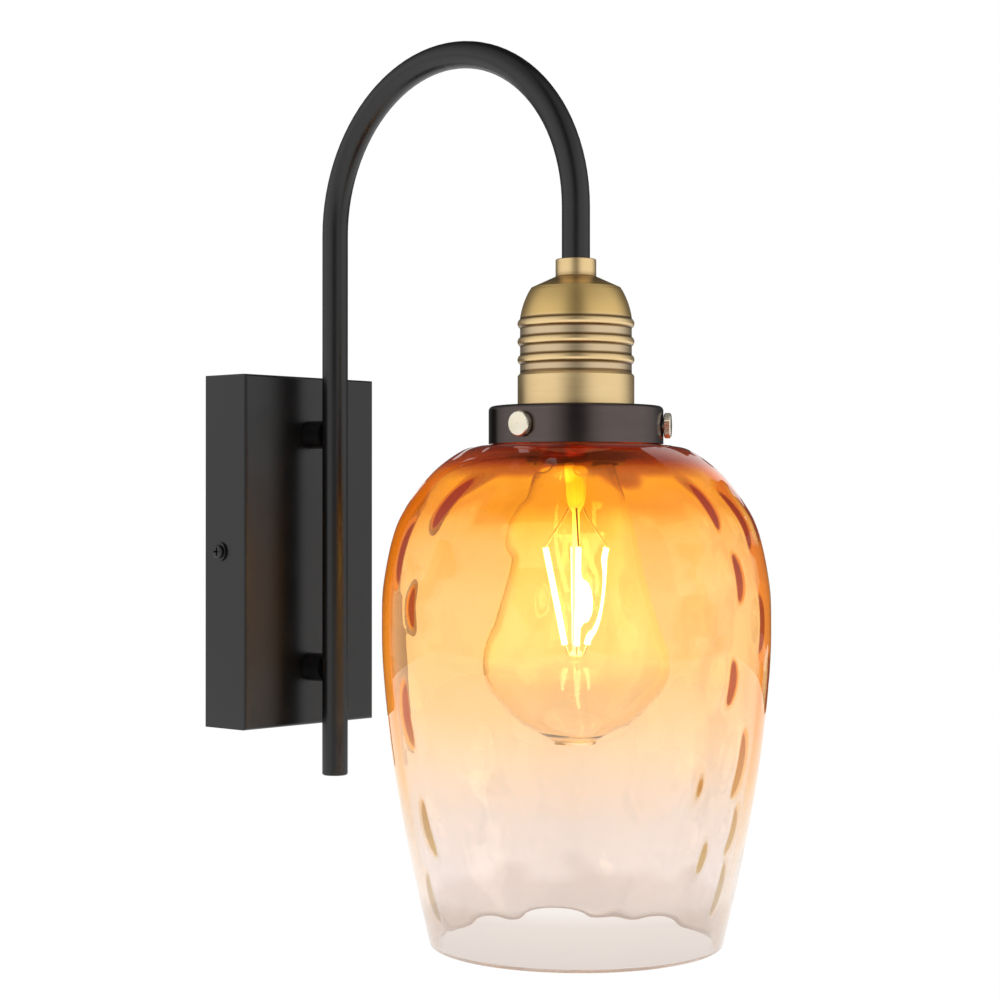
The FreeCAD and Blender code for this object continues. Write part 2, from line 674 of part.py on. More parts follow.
def socket_insert():
    """Glazed ceramic disc that carries the contacts and terminals."""
    disc = turned((0, SHELL_HIGH), (CERAMIC_R, SHELL_HIGH), (CERAMIC_R, BARREL_HIGH), (0, BARREL_HIGH))
    disc = disc.cut(rod(CERAMIC_POCKET_R, on_head(0, 0, SHELL_HIGH - 1), on_head(0, 0, RIVET_Z)))
    for side in (-1, 1):
        x = side * BRIDGE_SCREW_X
        hole_low = BARREL_HIGH + BRIDGE_T - BRIDGE_SCREW[3] - HOLE_PLAY
        disc = disc.cut(rod(M3_R + THREAD_PLAY, on_head(x, 0, hole_low), on_head(x, 0, BARREL_HIGH + 1)))
    for y in (-TERMINAL_OFFSET, SHELL_RIVET_Y):
        rivet = rod(RIVET_R + THREAD_PLAY, on_head(0, y, SHELL_HIGH - 1), on_head(0, y, BARREL_HIGH + 1))
        disc = disc.cut(rivet)
    return disc


def thread_shell():
    """E27 screw shell with a flange that is clamped under the ceramic."""
    low = BARREL_STEP_Z + 0.5
    ledge = SHELL_HIGH - SHELL_FLANGE_T
    flange_in, flange_out = SHELL_FLANGE
    return turned(
        (SHELL_BORE_R + 0.3, low), (SHELL_R, low), (SHELL_R, ledge), (flange_out, ledge),
        (flange_out, SHELL_HIGH), (flange_in, SHELL_HIGH), (flange_in, ledge), (SHELL_BORE_R, ledge),
        (SHELL_BORE_R, low + 0.5))


def centre_contact():
    """Sprung tongue over the bulb's tip, on a rivet that reaches its terminal."""
    low = TIP_HIGH + 0.1
    high = RIVET_Z
    strip = CONTACT_T
    outline = [
        (-11, high), (-11, high - strip), (-6, high - strip), (-2.4, low), (2.4, low), (2.4, low + strip),
        (-2.2, low + strip), (-5.8, high), (-11, high)]
    points = [on_head(-2, y + 0.2, z) for y, z in outline]
    tongue = Part.Face(Part.makePolygon(points)).extrude(V(4, 0, 0))
    tongue = tongue.common(rod(CERAMIC_POCKET_R - 0.1, on_head(0, 0, SHELL_HIGH), on_head(0, 0, BARREL_HIGH)))
    y = -TERMINAL_OFFSET
    rivet = rod(RIVET_R, on_head(0, y, high - strip), on_head(0, y, BARREL_HIGH))
    return welded([tongue, rivet])


def shell_contact():
    """Rivet from the shell's flange to the other terminal."""
    return rod(RIVET_R, on_head(0, SHELL_RIVET_Y, SHELL_HIGH), on_head(0, SHELL_RIVET_Y, BARREL_HIGH))


def holder_terminals():
    """Two brass blocks on the ceramic, each with a hole for its lead and one for its screw."""
    blocks = []
    for side in (-1, 1):
        y0, y1 = sorted(side * y for y in TERMINAL_YS)
        x = -side * LEAD_X
        y = side * TERMINAL_OFFSET
        half = TERMINAL_HALF
        body = block(-half, half, y0, y1, BARREL_HIGH, BARREL_HIGH + TERMINAL_H).translated(HEAD)
        at = on_head(x, y, LEAD_ENTRY_Z)
        body = body.cut(rod(LEAD_R + HOLE_PLAY, on_head(x, 0, LEAD_ENTRY_Z), at - OUT * side * 2))
        blocks.append(body.cut(rod(CLAMP_R + THREAD_PLAY, at, at + UP * TERMINAL_H)))
    return together(blocks)


def holder_terminal_screws():
    """Slotted screws that clamp the leads in the lampholder."""
    screws = []
    half = SCREW_SLOT / 2
    low = LEAD_ENTRY_Z + LEAD_R
    high = BARREL_HIGH + TERMINAL_H + 0.5
    for side in (-1, 1):
        x = -side * LEAD_X
        y = side * TERMINAL_OFFSET
        screw = rod(CLAMP_R, on_head(x, y, low), on_head(x, y, high))
        cut = block(x - 2, x + 2, y - half, y + half, high - 0.7, high + 1)
        screws.append(screw.cut(cut.translated(HEAD)))
    return together(screws)


def screw_direction(angle):
    return V(math.cos(math.radians(angle)), math.sin(math.radians(angle)), 0)


def shade_fitter():
    """Spun ring that hangs under the cup and takes the shade's neck, with three threaded side holes."""
    inner = FITTER_R - SHEET
    under = CUP_LOW - SHEET
    edge = FITTER_EDGE_R
    inner_edge = FITTER_INNER_EDGE_R
    ring = turned(
        (FITTER_BORE_R, under), (inner - inner_edge, under),
        quarter((inner - inner_edge, under - inner_edge), inner_edge, 90, 0), (inner, FITTER_LOW),
        (FITTER_R, FITTER_LOW), (FITTER_R, CUP_LOW - edge),
        quarter((FITTER_R - edge, CUP_LOW - edge), edge, 0, 90), (FITTER_BORE_R, CUP_LOW))
    for angle in SCREW_ANGLES:
        way = screw_direction(angle)
        start = on_head(0, 0, SCREW_Z) + way * NECK_R
        ring = ring.cut(rod(STUD_R + STUD_PLAY, start, start + way * FITTER_R))
    return ring


def fitter_ring_nut():
    """Threaded ring with finger notches that clamps the fitter against the cup."""
    high = CUP_LOW - SHEET
    nut = pipe(RING_NUT_R, FITTER_BORE_R, on_head(0, 0, RING_NUT_LOW), on_head(0, 0, high))
    notches = []
    for k in range(RING_NUT_NOTCHES):
        way = screw_direction(k * 360 / RING_NUT_NOTCHES) * (RING_NUT_R + RING_NUT_NOTCH_R / 2)
        low = on_head(0, 0, RING_NUT_LOW - 1) + way
        notches.append(rod(RING_NUT_NOTCH_R, low, low + UP * RING_NUT_R))
    return nut.cut(Part.makeCompound(notches))


def thumb_screw_stud(angle):
    """Steel shank with a rounded tip that bears on the shade's neck."""
    length = KNOB_BACK_R + STUD_IN_KNOB - STUD_TIP_R
    stud = rod(STUD_R, V(0, 0, 0), V(0, 0, length))
    stud = stud.makeFillet(STUD_EDGE_R, [e for e in stud.Edges if e.BoundBox.ZMax < 1e-6])
    way = screw_direction(angle)
    return placed(stud, on_head(0, 0, SCREW_Z) + way * STUD_TIP_R, way)


def thumb_screw_knob(angle):
    """Knurled brass head with a slightly domed face and a blind bore for the shank."""
    points = []
    for k in range(2 * KNURLS + 1):
        radius = KNOB_R - (KNURL_DEPTH if k % 2 else 0.0)
        turn = math.pi * k / KNURLS
        points.append(V(radius * math.cos(turn), radius * math.sin(turn), 0))
    knob = Part.Face(Part.makePolygon(points)).extrude(V(0, 0, KNOB_T))
    bevel = 0.5
    edge_z = KNOB_T - KNURL_DEPTH
    blank = profile(
        (0, 0), (KNOB_R - bevel, 0), (KNOB_R, bevel), (KNOB_R, edge_z - bevel), (KNOB_R - bevel, edge_z),
        dome(KNOB_R - bevel, edge_z, KNOB_T))
    knob = knob.common(blank.revolve(V(0, 0, 0), UP, 360))
    knob = knob.cut(rod(STUD_R + STUD_PLAY, V(0, 0, -1), V(0, 0, STUD_IN_KNOB + STUD_PLAY)))
    way = screw_direction(angle)
    return placed(knob, on_head(0, 0, SCREW_Z) + way * KNOB_BACK_R, way)


def set_in(points, distance, samples=24):
    """Points on a parallel curve, to the left of the smooth curve through the given ones."""
    curve = smooth_curve([V(r, 0, z) for r, z in points])
    first, last = curve.FirstParameter, curve.LastParameter
    inner = []
    for k in range(samples + 1):
        at = first + (last - first) * k / samples
        here = curve.value(at)
        way = curve.tangent(at)[0]
        inner.append((here.x + way.z * distance, here.z - way.x * distance))
    return inner


def glass_shade():
    """Blown tulip shade: lipped neck in the fitter, round shoulder, tapering body and a plain cut rim."""
    lip_z = NECK_HIGH - NECK_LIP_R
    lip_r = NECK_R + 0.6
    bend = (NECK_R + NECK_BEND_R, SHOULDER_HIGH + NECK_BEND_R)
    outside = [(bend[0], SHOULDER_HIGH)] + SHADE_OUTSIDE
    inside = set_in(outside, GLASS_WALL)[1:]
    inside[-1] = (inside[-1][0], RIM_Z)
    inner_r = NECK_R - GLASS_WALL
    inner_low = SHOULDER_HIGH - GLASS_WALL
    return turned(
        (inner_r, NECK_HIGH), (lip_r, NECK_HIGH), quarter((lip_r, lip_z), NECK_LIP_R, 90, -90),
        (NECK_R, lip_z - NECK_LIP_R), (NECK_R, bend[1]), quarter(bend, NECK_BEND_R, 180, 270), SHADE_OUTSIDE,
        inside[-1], inside[-2::-1] + [(bend[0], inner_low)],
        quarter(bend, NECK_BEND_R + GLASS_WALL, 270, 180))


def bulb_cap():
    """Screw cap of the bulb: thin shell with a tapered top."""
    wall = CAP_WALL
    hole, flat = CAP_TOP
    under = CAP_HIGH - wall
    taper_z = CAP_HIGH - CAP_TAPER
    return turned(
        (CAP_R - wall, CAP_LOW), (CAP_R - wall / 2, CAP_LOW), (CAP_R, CAP_LOW + wall), (CAP_R, taper_z),
        (flat, CAP_HIGH), (hole, CAP_HIGH), (hole, under), (flat - 0.2, under), (CAP_R - wall, taper_z - 0.3))


def bulb_insulator():
    """Black glass disc between the cap and the tip."""
    wide, narrow = INSULATOR_RS
    return turned((0, INSULATOR_LOW), (wide, INSULATOR_LOW), (narrow, INSULATOR_HIGH), (0, INSULATOR_HIGH))


def bulb_contact():
    """Tinned tip of the cap."""
    low = INSULATOR_HIGH
    edge_z = low + 0.6
    return turned((0, low), (TIP_R, low), (TIP_R, edge_z), dome(TIP_R, edge_z, TIP_HIGH))


def bulb_driver():
    """Round circuit board with two components, held in the cap."""
    top = BOARD_LOW + BOARD_T
    board = rod(BOARD_R, on_head(0, 0, BOARD_LOW), on_head(0, 0, top))
    coil = rod(COIL_R, on_head(4.5, 0, top), on_head(4.5, 0, top + COIL_H))
    chip = block(-7.5, -2.0, -3.0, 3.0, top, top + CHIP_H).translated(HEAD)
    return welded([board, coil, chip])


def bulb_envelope():
    """Thin glass pear, open at the cap's end where the stem seals it."""
    neck_low = CAP_LOW - 1.0
    outside = [(BULB_NECK_R, neck_low)] + BULB_OUTSIDE + [(0, BULB_LOW)]
    inside = set_in(outside, BULB_GLASS, 36)
    inside[-1] = (0, BULB_LOW + BULB_GLASS)
    return turned(
        (BULB_NECK_R - BULB_GLASS, BULB_NECK_HIGH), (BULB_NECK_R, BULB_NECK_HIGH), outside[0],
        outside[1:], inside[-1], inside[-2::-1])


def bulb_stem():
    """Glass mount: flared foot, tapering tube and a thin post down to the hub."""
    foot = BULB_NECK_HIGH
    return turned(
        (0, foot), (STEM_FOOT_R, foot), (STEM_FOOT_R, foot - 1.0), STEM_OUTSIDE,
        (STEM_POST_R, STEM_POST_HIGH), (STEM_POST_R, HUB_Z + 2.0), (HUB_R, HUB_Z + 1.0), (HUB_R, HUB_Z),
        (0, HUB_Z))


def filament_ends(k):
    """Top and foot of one filament stick."""
    way = screw_direction(45 + 90 * k)
    top = on_head(0, 0, FILAMENT_TOP[1]) + way * FILAMENT_TOP[0]
    foot = on_head(0, 0, FILAMENT_FOOT[1]) + way * FILAMENT_FOOT[0]
    return top, foot


def filament_sticks():
    return together([rod(FILAMENT_R, *filament_ends(k)) for k in range(4)])


def filament_wires():
    """Support wires from the stem out to each stick's top and from each foot in to the hub."""
    wires = []
    for k in range(4):
        top, foot = filament_ends(k)
        along = (top - foot).normalize()
        way = screw_direction(45 + 90 * k)
        at_stem = on_head(0, 0, WIRE_TOP[1]) + way * WIRE_TOP[0]
        at_hub = on_head(0, 0, WIRE_FOOT[1]) + way * WIRE_FOOT[0]
        wires.append(rod(WIRE_R, at_stem, top + along * 0.3))
        wires.append(rod(WIRE_R, foot - along * 0.3, at_hub))
    return together(wires)


def lamp_lead(side):
    """Insulated lead from the terminal block, through the upper post and the tube, to the lampholder."""
    x = side * LEAD_X
    pole_x = side * POLES[-1]
    into_head = V(x, HEAD_Y, LEAD_ENTRY_Z)
    points = [V(pole_x, POLE_Y, BLOCK_LOW + 2.5), V(pole_x, POLE_Y, BLOCK_HIGH + 7.0)]
    points += [V(x, -9.5, POST_Z), V(x, LEG_Y, POST_Z)]
    points += leg_points(x)[1:3] + [into_head, into_head - V(0, side * 10.0, 0)]
    return bent_rod(LEAD_R, points, [POLE_BEND, CANOPY_BEND, TUBE_BEND, BEND_R, BEND_R, TUBE_BEND])


def earth_lead():
    """Lead from the middle pole round to the earth screw."""
    y = EARTH_BARREL_Y
    points = [V(0, POLE_Y, 27.0), V(0, POLE_Y, 4.0), V(16, -9.0, -6.0), V(17, y, EARTH_Z), V(7.5, y, EARTH_Z)]
    return bent_rod(LEAD_R, points, EARTH_BENDS)


def all_nodes():
    """Every node's name and shape."""
    plain = [
        canopy_box, wall_bracket, canopy_screws, earth_screw, earth_tag, terminal_block, terminal_inserts,
        terminal_clamp_screws, terminal_fixing_screw, gooseneck_tube, tube_end_plug, upper_post, lower_post,
        post_nipple, post_nut, post_washers, lower_post_bolt, neck_collar, head_nipple, head_nuts,
        head_washer, socket_cup, holder_bridge, bridge_screws, holder_barrel, socket_insert, thread_shell,
        centre_contact, shell_contact, holder_terminals, holder_terminal_screws, shade_fitter,
        fitter_ring_nut, glass_shade,
        bulb_cap, bulb_insulator, bulb_contact, bulb_driver, bulb_envelope, bulb_stem, filament_sticks,
        filament_wires, earth_lead,
    ]
    nodes = {make.__name__: make() for make in plain}
    nodes["live_lead"] = lamp_lead(1)
    nodes["neutral_lead"] = lamp_lead(-1)
    for number, angle in enumerate(SCREW_ANGLES, 1):
        nodes[f"thumb_screw_stud_{number}"] = thumb_screw_stud(angle)
        nodes[f"thumb_screw_knob_{number}"] = thumb_screw_knob(angle)
    return nodes


os.makedirs("parts", exist_ok=True)
for name, shape in all_nodes().items():
    print(f"{name:26s} solids {len(shape.Solids)}  volume {shape.Volume:10.1f}  valid {shape.isValid()}")
    shape.exportStep(f"parts/{name}.step")
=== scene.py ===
# %% [markdown]
# A wall light in Blender, one piece at a time.
# The light is a slim black canopy, a gooseneck tube, a brass lampholder and a dimpled amber glass shade.
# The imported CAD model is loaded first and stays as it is. It could be modelled again here, but then two
# models would have to agree, so this script gives it finishes and swaps only the shade for a finer one.

# %% Load the frame
import json
import math

import bpy
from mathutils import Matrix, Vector


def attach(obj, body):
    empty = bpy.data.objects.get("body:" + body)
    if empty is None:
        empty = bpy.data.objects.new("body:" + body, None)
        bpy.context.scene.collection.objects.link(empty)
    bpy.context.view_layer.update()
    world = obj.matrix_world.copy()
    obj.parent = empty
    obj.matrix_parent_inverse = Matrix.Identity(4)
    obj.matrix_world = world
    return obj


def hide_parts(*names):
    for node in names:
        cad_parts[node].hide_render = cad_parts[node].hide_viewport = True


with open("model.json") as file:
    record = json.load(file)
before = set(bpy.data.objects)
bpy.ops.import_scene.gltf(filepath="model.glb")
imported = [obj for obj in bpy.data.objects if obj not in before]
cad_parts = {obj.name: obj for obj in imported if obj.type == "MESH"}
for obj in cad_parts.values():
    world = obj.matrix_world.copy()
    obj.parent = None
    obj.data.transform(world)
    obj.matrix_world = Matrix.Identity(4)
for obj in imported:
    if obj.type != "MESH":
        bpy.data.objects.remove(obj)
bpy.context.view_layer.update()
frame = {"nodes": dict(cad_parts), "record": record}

MM = 0.001

# %% [markdown]
# The camera stands to the left of the light and further from the wall than the lamp head.
# A camera could be aimed by eye. This one was fitted to the edges in the photograph, the canopy's corners
# and the rings of the lampholder above all, so each piece falls where the photograph has it.

# %% Camera
CAMERA_PLACE = Vector((-603.6, -675.4, 17.2)) * MM
CAMERA_YAW = math.radians(47.743)
CAMERA_PITCH = math.radians(0.214)
LENS_MM = 78.9
FILM_WIDTH_MM = 36.0
NEAREST_SEEN = 10.0
HEAD_Y = -164.0

lens = bpy.data.cameras.new("camera")
lens.lens = LENS_MM
lens.sensor_width = FILM_WIDTH_MM
lens.clip_start = NEAREST_SEEN * MM
camera = bpy.data.objects.new("camera", lens)
camera.location = CAMERA_PLACE
camera.rotation_euler = (math.pi / 2 + CAMERA_PITCH, 0.0, -CAMERA_YAW)
bpy.context.scene.collection.objects.link(camera)
bpy.context.scene.camera = camera
bpy.context.scene.view_settings.view_transform = "Standard"

TO_CAMERA = math.atan2(CAMERA_PLACE.y - HEAD_Y * MM, CAMERA_PLACE.x)
print("seen from the lamp head, the camera lies at", round(math.degrees(TO_CAMERA), 1), "degrees")

# %% [markdown]
# A finish is a tree of nodes, and trees are tedious to write node by node.
# One way is to copy a tree that was built by hand. The way here is a small class that wraps a socket, so
# that sums on sockets are written as sums, and one function that makes any other node.


# %% Sums on sockets
class Wire:
    """A socket that can be added, taken away and multiplied."""

    def __init__(self, tree, socket):
        self.tree = tree
        self.socket = socket

    def outlet(self, name):
        """Another output of the same node."""
        return Wire(self.tree, self.socket.node.outputs[name])

    def sum(self, operation, first, second):
        return add_node(self.tree, "ShaderNodeMath", {"operation": operation}, {0: first, 1: second})

    def __add__(self, other):
        return self.sum("ADD", self, other)

    def __radd__(self, other):
        return self.sum("ADD", other, self)

    def __sub__(self, other):
        return self.sum("SUBTRACT", self, other)

    def __rsub__(self, other):
        return self.sum("SUBTRACT", other, self)

    def __mul__(self, other):
        return self.sum("MULTIPLY", self, other)

    def __rmul__(self, other):
        return self.sum("MULTIPLY", other, self)

    def at_least(self, other):
        """The larger of the two."""
        return self.sum("MAXIMUM", self, other)

    def distance(self, other):
        """How far apart the two are."""
        return self.sum("ABSOLUTE", self - other, 0.0)


def fill_ramp(ramp, stops):
    """Puts stops on a ramp: pairs of a place from 0 to 1 and a colour or a grey."""
    for index, (place, colour) in enumerate(stops):
        stop = ramp.elements[index] if index < 2 else ramp.elements.new(place)
        stop.position = place
        stop.color = (*colour, 1.0) if isinstance(colour, tuple) else (colour, colour, colour, 1.0)


def add_node(tree, kind, settings=None, sockets=None, output=0):
    """Adds a node, sets it up, fills its sockets with values or wires and returns one of its outputs."""
    made = tree.nodes.new(kind)
    for name, value in (settings or {}).items():
        if name == "stops":
            fill_ramp(made.color_ramp, value)
        else:
            setattr(made, name, value)
    for name, value in (sockets or {}).items():
        if isinstance(value, Wire):
            tree.links.new(value.socket, made.inputs[name])
        else:
            made.inputs[name].default_value = value
    return Wire(tree, made.outputs[output]) if made.outputs else None


# %% [markdown]
# The studio is white, as the photograph's background is, but brass in an all-white room looks like paper.
# Black cards round the set would give it contrast and would be in the way of other views. Here the world
# does it: the camera sees plain white, directly and through glass, and a reflection in metal or paint sees
# white soft boxes to the left and right with the dim room between them. A reflection in the smooth glass
# sees the white only far behind the light, which leaves the shade a thin pale edge and keeps the rest amber.
# Matt surfaces get an even light.

# %% World
EVEN_LIGHT = 0.62
# Pairs of degrees round from the camera, or of the rise of a ray, and how bright the room is there.
ROUND_THE_ROOM = [
    (-180, 0.06), (-150, 0.10), (-128, 0.30), (-104, 0.85), (-78, 1.0), (-38, 1.0), (-20, 0.55), (-8, 0.15),
    (2, 0.08), (12, 0.22), (24, 0.75), (38, 1.0), (96, 1.0), (118, 0.60), (136, 0.16), (160, 0.06),
]
FLOOR_TO_CEILING = [
    (-1.0, 0.5), (-0.12, 0.60), (0.0, 0.84), (0.09, 1.0), (0.47, 0.82), (0.77, 0.50), (1.0, 0.35),
]
SEEN_IN_GLASS = [(-180, 1.0), (-160, 1.0), (-142, 0.3), (0, 0.25), (142, 0.3), (160, 1.0), (180, 1.0)]

world = bpy.data.worlds.new("studio")
world.use_nodes = True
world.node_tree.nodes.clear()
bpy.context.scene.world = world
sky = world.node_tree

heading = add_node(sky, "ShaderNodeTexCoord", output="Generated")
from_camera = add_node(sky, "ShaderNodeVectorRotate", {"rotation_type": "Z_AXIS"},
                       {"Vector": heading, "Angle": -TO_CAMERA})
bearing = add_node(sky, "ShaderNodeTexGradient", {"gradient_type": "RADIAL"}, {"Vector": from_camera},
                   output="Fac")
soft_boxes, in_glass = [
    add_node(sky, "ShaderNodeValToRGB", {
        "stops": [(0.5 + degrees / 360, level) for degrees, level in levels]}, {"Fac": bearing})
    for levels in (ROUND_THE_ROOM, SEEN_IN_GLASS)]
upward = add_node(sky, "ShaderNodeSeparateXYZ", sockets={"Vector": heading}, output="Z")
falling_off = add_node(sky, "ShaderNodeValToRGB", {
    "stops": [((1 + rise) / 2, level) for rise, level in FLOOR_TO_CEILING]}, {"Fac": (1.0 + upward) * 0.5})
ray = add_node(sky, "ShaderNodeLightPath", output="Is Camera Ray")
seen = ray.at_least(ray.outlet("Is Transmission Ray"))
mirrored = ray.outlet("Is Glossy Ray") * ray.outlet("Is Singular Ray")
reflected = ray.outlet("Is Glossy Ray") - mirrored
lit = (1.0 - seen.at_least(ray.outlet("Is Glossy Ray"))) * EVEN_LIGHT
brightness = seen.at_least(mirrored * in_glass) + reflected * soft_boxes * falling_off + lit
glow = add_node(sky, "ShaderNodeBackground", sockets={"Color": (1.0, 1.0, 1.0, 1.0), "Strength": brightness})
add_node(sky, "ShaderNodeOutputWorld", sockets={"Surface": glow})
print("world nodes:", len(sky.nodes))

# %% [markdown]
# The light hangs on a wall, so nothing stands on the floor, but other views look down on it.
# A wall behind it would hide the back from view. A pale floor well below it takes its soft shadow, and
# shows itself to the camera, to mirrors and through glass as white as the world does.

# %% Floor
FLOOR_Z = -1200.0
FLOOR_REACH = 9000.0
FLOOR_COLOUR = (0.82, 0.82, 0.81, 1.0)
FLOOR_GLOW = 1.05
GLOW_SHARE = 0.92

floor_mesh = bpy.data.meshes.new("floor")
corners = [(x * FLOOR_REACH * MM, y * FLOOR_REACH * MM, FLOOR_Z * MM)
           for x, y in ((-1, -1), (1, -1), (1, 1), (-1, 1))]
floor_mesh.from_pydata(corners, [], [(0, 1, 2, 3)])
floor = bpy.data.objects.new("floor", floor_mesh)
bpy.context.scene.collection.objects.link(floor)

floor_paint = bpy.data.materials.new("pale floor")
floor_paint.use_nodes = True
floor_paint.node_tree.nodes.clear()
paint = floor_paint.node_tree
matt = add_node(paint, "ShaderNodeBsdfDiffuse", sockets={"Color": FLOOR_COLOUR})
white = add_node(paint, "ShaderNodeEmission", sockets={"Strength": FLOOR_GLOW})
ray = add_node(paint, "ShaderNodeLightPath", output="Is Camera Ray")
straight_on = ray.at_least(ray.outlet("Is Glossy Ray")).at_least(ray.outlet("Is Transmission Ray"))
top = add_node(paint, "ShaderNodeMixShader", sockets={0: straight_on * GLOW_SHARE, 1: matt, 2: white})
add_node(paint, "ShaderNodeOutputMaterial", sockets={"Surface": top})
floor_mesh.materials.append(floor_paint)
print("floor at", FLOOR_Z * MM, "m")

# %% [markdown]
# Two soft lamps give the forms their shape: a large one to the left and above the camera, a weaker one to
# the right. Small lamps would give hard shadows that the photograph doesn't have.


# %% Lamps
LAMP_SIZE = 900


def add_lamp(name, place, watts):
    """A square soft lamp that points at the lamp head."""
    data = bpy.data.lights.new(name, "AREA")
    data.shape = "SQUARE"
    data.size = LAMP_SIZE * MM
    data.energy = watts
    lamp = bpy.data.objects.new(name, data)
    lamp.location = Vector(place) * MM
    lamp.visible_glossy = False
    aim = Vector((0.0, HEAD_Y / 2, 0.0)) * MM - lamp.location
    lamp.rotation_euler = aim.to_track_quat("-Z", "Y").to_euler()
    bpy.context.scene.collection.objects.link(lamp)
    print(name, "gives", watts, "watts")


add_lamp("lamp on the left", (-1350, -650, 950), watts=7.0)
add_lamp("lamp on the right", (700, -1500, 600), watts=4.0)


# %% [markdown]
# Every finish begins in the same way: a place in space, noises of a known size, and one shader.
# Sizes are given in millimetres, as a maker would say them, so that a grain of 0.5 mm is 0.5 mm on
# every piece. Object coordinates are used, because the pieces have no unwrapped texture space.

# %% Finish
class Finish:
    """A material in the making."""

    def __init__(self, name):
        self.material = bpy.data.materials.new(name)
        self.material.use_nodes = True
        self.tree = self.material.node_tree
        self.tree.nodes.clear()
        self.place = self.node("ShaderNodeTexCoord", output="Object")

    def node(self, kind, settings=None, sockets=None, output=0):
        """Adds a node to this material."""
        return add_node(self.tree, kind, settings, sockets, output)

    def noise(self, size, stretch=(1.0, 1.0, 1.0), detail=2.0):
        """Cloudy noise whose lumps are about as large as size in millimetres, times stretch."""
        scale = tuple(1.0 / (size * MM * s) for s in stretch)
        scaled = self.node("ShaderNodeVectorMath", {"operation": "MULTIPLY"}, {0: self.place, 1: scale})
        return self.node("ShaderNodeTexNoise", None,
                         {"Vector": scaled, "Scale": 1.0, "Detail": detail, "Roughness": 0.6}, output="Fac")

    def spread(self, value, low, high, to_low=0.0, to_high=1.0):
        """Stretches the part of a value between low and high, softly, to the range that is wanted."""
        return self.node("ShaderNodeMapRange", {"interpolation_type": "SMOOTHSTEP"},
                         {"Value": value, "From Min": low, "From Max": high, "To Min": to_low,
                          "To Max": to_high}, output="Result")

    def patchy(self, cloud, low=0.0, high=1.0):
        """A noise spread over the range that is wanted. Most of a noise lies between 0.3 and 0.7."""
        return self.spread(cloud, 0.3, 0.7, low, high)

    def blend(self, share, first, second):
        """A colour between two, as the share goes from 0 to 1."""
        first = first if isinstance(first, Wire) else (*first, 1.0)
        second = second if isinstance(second, Wire) else (*second, 1.0)
        return self.node("ShaderNodeMix", {"data_type": "RGBA"}, {0: share, 6: first, 7: second}, output=2)

    def height(self):
        """The height of a point in metres."""
        return self.node("ShaderNodeSeparateXYZ", None, {"Vector": self.place}, output="Z")

    def by_height(self, stops):
        """A colour that follows the height, from pairs of a height in millimetres and a colour."""
        low, high = stops[0][0], stops[-1][0]
        share = self.node("ShaderNodeMapRange", None, {
            "Value": self.height(), "From Min": low * MM, "From Max": high * MM}, output="Result")
        return self.node("ShaderNodeValToRGB", {
            "stops": [((z - low) / (high - low), colour) for z, colour in stops]}, {"Fac": share})

    def bands(self, heights, solid, soft):
        """1 on level bands at the given heights, out to solid from each, and 0 from soft on, millimetres."""
        shares = [self.spread(self.height().distance(level * MM), solid * MM, soft * MM, 1.0, 0.0)
                  for level in heights]
        largest = shares[0]
        for share in shares[1:]:
            largest = largest.at_least(share)
        return largest

    def bump(self, relief, depth, strength=1.0):
        """A normal from a relief, whose full range is as deep as depth in millimetres."""
        return self.node("ShaderNodeBump", None,
                         {"Height": relief, "Distance": depth * MM, "Strength": strength}, output="Normal")

    def shade(self, sockets):
        """Ends the tree with one shader and hands over the material."""
        return self.end(self.node("ShaderNodeBsdfPrincipled", None, sockets))

    def end(self, shader):
        """Ends the tree and hands over the material."""
        self.node("ShaderNodeOutputMaterial", None, {"Surface": shader})
        return self.material


# %% [markdown]
# The canopy, tube, posts and plug have one satin black powder coat.
# Plain black paint would do from afar. Close up, powder flows into a fine orange peel and never lies
# quite even, so a relief of a fraction of a millimetre and a slow change in gloss are added.


# %% Powder coat
ORANGE_PEEL = 0.55
COAT_IOR = 1.58


def powder_coat(name, dark, light, rough):
    """A satin paint with orange peel, a cloudy gloss and a trace of dust."""
    paint = Finish(name)
    peel = paint.noise(size=ORANGE_PEEL, detail=1.5)
    cloud = paint.noise(size=28.0, detail=3.0)
    dust = paint.spread(paint.noise(size=6.0, detail=4.0), 0.45, 0.8)
    colour = paint.blend(cloud, dark, light)
    gloss = paint.spread(cloud, 0.25, 0.75, rough - 0.03, rough + 0.04) + dust * 0.03
    return paint.shade({"Base Color": colour, "Roughness": gloss, "IOR": COAT_IOR,
                        "Normal": paint.bump(peel, depth=0.015, strength=0.3)})


FINISHES = {
    "black_steel": powder_coat(
        "satin black powder coat", (0.002, 0.002, 0.0022), (0.004, 0.0038, 0.004), 0.31),
}

# %% [markdown]
# The cup and the collar are antique brass: turned, brushed round, lacquered, and dark in every crease.
# A plain brass would show the form by its gloss alone. The real one was darkened all over and rubbed
# bright again, so the bell is golden, the grooves between the beads stay paler and duller, and a thin brown
# line is left wherever two faces meet. The heights of these lines are those of the cup's section.

# %% Turned metals
BEAD_ZS = (83.7, 77.2, 70.7)
BEAD_HALF = 1.6
GROOVE_ZS = (80.4, 73.9, 67.5)
BELL_Z = 93.0
COLLAR_FOOT_Z = 100.0
SLEEVE_ZS = [66.2, 53.9]
CREASES = [level + side * BEAD_HALF for level in BEAD_ZS for side in (-1, 1)] + SLEEVE_ZS
BELL_COLOUR = (0.80, 0.54, 0.19)
GROOVE_COLOUR = (0.74, 0.57, 0.37)
BROWN = (0.17, 0.085, 0.022)
TINTED = 0.85
BROWNED_CONE = 0.55
CREASE_OVER_CONE = 1.6


